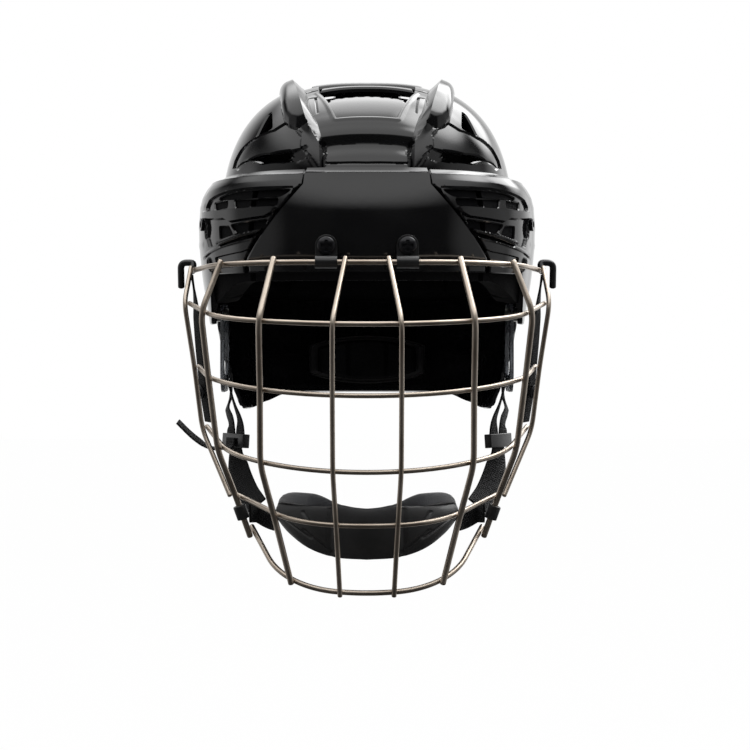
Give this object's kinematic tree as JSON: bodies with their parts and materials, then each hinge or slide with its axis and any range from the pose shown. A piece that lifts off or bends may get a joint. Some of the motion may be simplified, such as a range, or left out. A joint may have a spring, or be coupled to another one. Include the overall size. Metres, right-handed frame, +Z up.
{
  "type": "hockey helmet with cage",
  "caption": "Black sports helmet in two sliding shells with a foam liner, a flip-up wire face cage, ear guards, chin cup and straps.",
  "frame": {"origin": "middle of the wearer's head at ear and eye level, on the helmet's centre plane", "axes": "+X to the right of the picture (the wearer's left), +Y towards the back of the head, +Z up; the face looks along -Y"},
  "size_m": [0.2485, 0.3146, 0.3295],
  "materials": {
    "black_shell": "satin black moulded shell",
    "liner_foam": "soft closed-cell foam",
    "black_fitting": "matt black moulding",
    "smoke_plastic": "clear smoke-grey moulding",
    "steel": "plain steel",
    "black_metal": "black coated steel",
    "cage_wire": "satin warm-grey plated wire",
    "sleeve_rubber": "black coating",
    "webbing": "woven black webbing",
    "cup_rubber": "soft moulded cup"
  },
  "bodies": {
    "helmet": {"front_shell": "black_shell", "side_grille_left": "black_shell", "side_grille_right": "black_shell", "crown_shell": "black_shell", "liner_front": "liner_foam", "liner_side_left": "liner_foam", "liner_side_right": "liner_foam", "liner_crown": "liner_foam", "ear_guard_left": "smoke_plastic", "ear_guard_right": "smoke_plastic", "ear_guard_screws": "steel", "clip_left": "black_metal", "clip_right": "black_metal", "clip_screws": "black_metal", "clip_nuts": "steel", "visor_nut_left": "steel", "visor_nut_right": "steel", "ear_strap_left": "webbing", "ear_strap_right": "webbing", "strap_sliders": "black_fitting", "strap_tail": "webbing"},
    "cage": {"cage_top_bar": "cage_wire", "cage_brow_bar": "cage_wire", "cage_eye_bar": "cage_wire", "cage_nose_bar": "cage_wire", "cage_mouth_bar": "cage_wire", "cage_chin_rim": "cage_wire", "centre_upright_left": "cage_wire", "centre_upright_right": "cage_wire", "inner_upright_left": "cage_wire", "inner_upright_right": "cage_wire", "side_upright_left": "cage_wire", "side_upright_right": "cage_wire", "outer_upright_left": "cage_wire", "outer_upright_right": "cage_wire", "hook_sleeve_left": "sleeve_rubber", "hook_sleeve_right": "sleeve_rubber", "side_strap_left": "webbing", "side_strap_right": "webbing", "side_snaps": "steel", "chin_cup_shell": "cup_rubber", "chin_cup_pad": "liner_foam", "chin_strap_left": "webbing", "chin_strap_right": "webbing", "cage_ring_left": "black_fitting", "cage_ring_right": "black_fitting"},
    "rear": {"rear_shell": "black_shell", "liner_rear": "liner_foam", "lever_pivots": "black_fitting"},
    "cradle": {"occipital_cradle": "black_fitting", "occipital_pad": "liner_foam"},
    "dial": {"occipital_dial": "black_fitting"},
    "lever_left": {"lever_left": "black_fitting"},
    "lever_right": {"lever_right": "black_fitting"}
  },
  "joints": [
    {"name": "cage_flip", "type": "hinge", "parent": "helmet", "child": "cage", "pos_m": [0, -0.137, 0.0477], "axis": [-1, 0, 0], "range_deg": [0, 100]},
    {"name": "length_slide", "type": "slide", "parent": "helmet", "child": "rear", "axis": [0, 1, 0], "range_m": [0, 0.012]},
    {"name": "lever_left_turn", "type": "hinge", "parent": "rear", "child": "lever_left", "pos_m": [-0.10676, 0.0305, 0.078], "axis": [0, 0, 1], "range_deg": [0, 90]},
    {"name": "lever_right_turn", "type": "hinge", "parent": "rear", "child": "lever_right", "pos_m": [0.10676, 0.0305, 0.078], "axis": [0, 0, -1], "range_deg": [0, 90]},
    {"name": "dial_turn", "type": "hinge", "parent": "rear", "child": "dial", "pos_m": [0, 0.13087, -0.00311], "axis": [0, 0.9877, -0.1564], "range_deg": [0, 360]},
    {"name": "cradle_slide", "type": "slide", "parent": "rear", "child": "cradle", "axis": [0, -1, 0], "range_m": [0, 0.008]}
  ],
  "couplings": [
    {"joint": "cradle_slide", "follows": "dial_turn", "m_per_rad": 0.00127}
  ]
}
